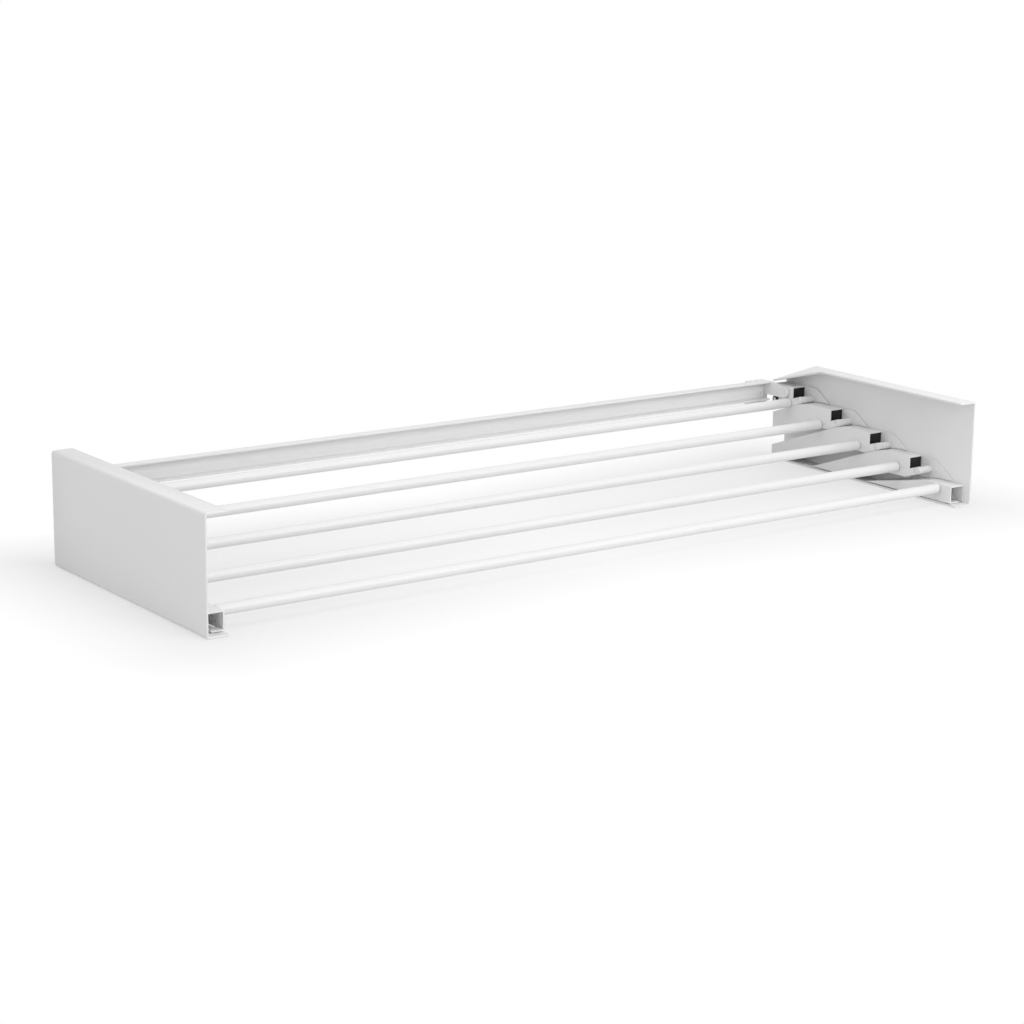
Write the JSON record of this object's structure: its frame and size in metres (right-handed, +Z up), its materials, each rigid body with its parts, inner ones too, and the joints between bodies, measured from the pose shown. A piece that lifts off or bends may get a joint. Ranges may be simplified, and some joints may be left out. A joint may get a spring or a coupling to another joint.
{
  "type": "wall mounted fold down drying rack",
  "caption": "White laundry rack of stepped tube rods between channel end plates, hinged at a wall rail so that it folds down for use and up flat.",
  "frame": {"origin": "on the wall plane, at the centre of the four wall holes", "axes": "+X along the wall and the rods, to the right as seen from the room; +Y into the wall; +Z up"},
  "size_m": [1, 0.342, 0.122],
  "materials": {
    "powder_coat": "satin white powder coat",
    "cap_plastic": "white moulded caps",
    "plug_plastic": "black moulded plugs",
    "nylon": "natural nylon bushes",
    "rubber": "black rubber",
    "zinc_steel": "bright zinc plate"
  },
  "bodies": {
    "wall_mount": {"left_hinge_bracket": "powder_coat", "right_hinge_bracket": "powder_coat", "back_rail": "powder_coat", "rail_screws": "powder_coat", "left_hinge_pin": "zinc_steel", "right_hinge_pin": "zinc_steel", "hinge_clips": "zinc_steel", "spring_washers": "zinc_steel"},
    "rack": {"left_end_plate": "powder_coat", "right_end_plate": "powder_coat", "stop_studs": "zinc_steel", "stop_sleeves": "rubber", "left_arm_1": "powder_coat", "left_arm_2": "powder_coat", "left_arm_3": "powder_coat", "left_arm_4": "powder_coat", "left_arm_5": "powder_coat", "right_arm_1": "powder_coat", "right_arm_2": "powder_coat", "right_arm_3": "powder_coat", "right_arm_4": "powder_coat", "right_arm_5": "powder_coat", "left_plug_1": "plug_plastic", "left_plug_2": "plug_plastic", "left_plug_3": "plug_plastic", "left_plug_4": "plug_plastic", "right_plug_1": "plug_plastic", "right_plug_2": "plug_plastic", "right_plug_3": "plug_plastic", "right_plug_4": "plug_plastic", "left_tie_pins": "powder_coat", "right_tie_pins": "powder_coat", "left_hinge_bushes": "nylon", "right_hinge_bushes": "nylon", "rod_1": "powder_coat", "rod_2": "powder_coat", "rod_3": "powder_coat", "rod_4": "powder_coat", "rod_5": "powder_coat", "left_rod_caps": "cap_plastic", "right_rod_caps": "cap_plastic", "left_rod_screws": "zinc_steel", "right_rod_screws": "zinc_steel", "left_weld_studs": "zinc_steel", "right_weld_studs": "zinc_steel", "left_stud_nuts": "zinc_steel", "right_stud_nuts": "zinc_steel"}
  },
  "joints": [
    {"name": "fold", "type": "hinge", "parent": "wall_mount", "child": "rack", "pos_m": [0, -0.044, 0.0093], "axis": [-1, 0, 0], "range_deg": [0, 90]}
  ]
}
